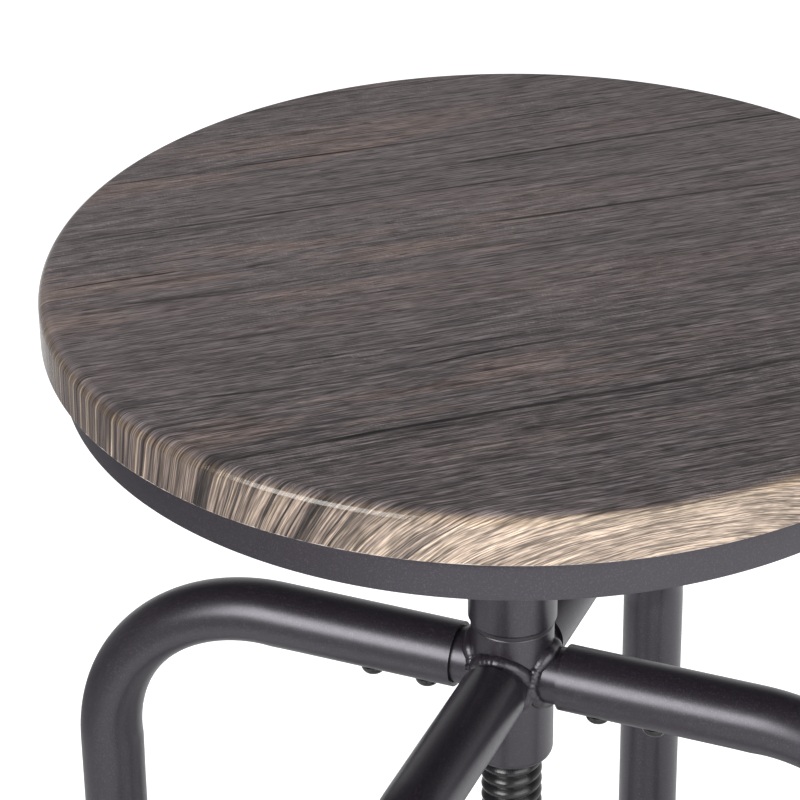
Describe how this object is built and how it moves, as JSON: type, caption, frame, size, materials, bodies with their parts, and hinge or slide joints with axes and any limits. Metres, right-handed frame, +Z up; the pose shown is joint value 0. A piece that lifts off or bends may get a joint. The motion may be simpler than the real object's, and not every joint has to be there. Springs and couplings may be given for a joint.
{
  "type": "swivel bar stool",
  "caption": "Backless swivel bar stool: round wood-grain board seat on a steel pan, raised by turning a coarse screw in a hub on bent-tube legs with a ring footrest.",
  "frame": {"origin": "on the floor, under the middle of the seat", "axes": "+Z up along the screw; the legs point along +X (right), +Y (back), -X (left) and -Y (front)"},
  "size_m": [0.3716, 0.3716, 0.61],
  "materials": {
    "wood_film": "satin",
    "powder_coat": "satin",
    "zinc_steel": "satin",
    "black_screw": "gloss",
    "black_thread": "gloss",
    "black_plastic": "matte"
  },
  "bodies": {
    "frame": {"hub_tube": "powder_coat", "spindle_nut": "zinc_steel", "guide_bush": "black_plastic", "stub_right": "powder_coat", "stub_back": "powder_coat", "stub_left": "powder_coat", "stub_front": "powder_coat", "leg_right": "powder_coat", "leg_back": "powder_coat", "leg_left": "powder_coat", "leg_front": "powder_coat", "leg_screws": "black_screw", "leg_nuts": "zinc_steel", "footrest_ring": "powder_coat", "footrest_saddles": "black_plastic", "footrest_screws": "black_screw", "footrest_nuts": "zinc_steel", "foot_cap_right": "black_plastic", "foot_cap_back": "black_plastic", "foot_cap_left": "black_plastic", "foot_cap_front": "black_plastic"},
    "lift": {"cover_sleeve": "powder_coat", "sleeve_bush": "black_plastic"},
    "seat": {"seat_board": "wood_film", "seat_inserts": "zinc_steel", "seat_pan": "powder_coat", "seat_screws": "zinc_steel", "spindle_flange": "powder_coat", "flange_bolts": "zinc_steel", "spindle": "black_thread", "stop_washer": "zinc_steel", "stop_screw": "zinc_steel"}
  },
  "joints": [
    {"name": "seat_lift", "type": "slide", "parent": "frame", "child": "lift", "axis": [0, 0, 1], "range_m": [0, 0.15]},
    {"name": "seat_turn", "type": "hinge", "parent": "lift", "child": "seat", "pos_m": [0, 0, 0.47], "axis": [0, 0, 1], "range_deg": [0, 10800]}
  ],
  "couplings": [
    {"joint": "seat_lift", "follows": "seat_turn", "m_per_rad": 0.00079577}
  ]
}
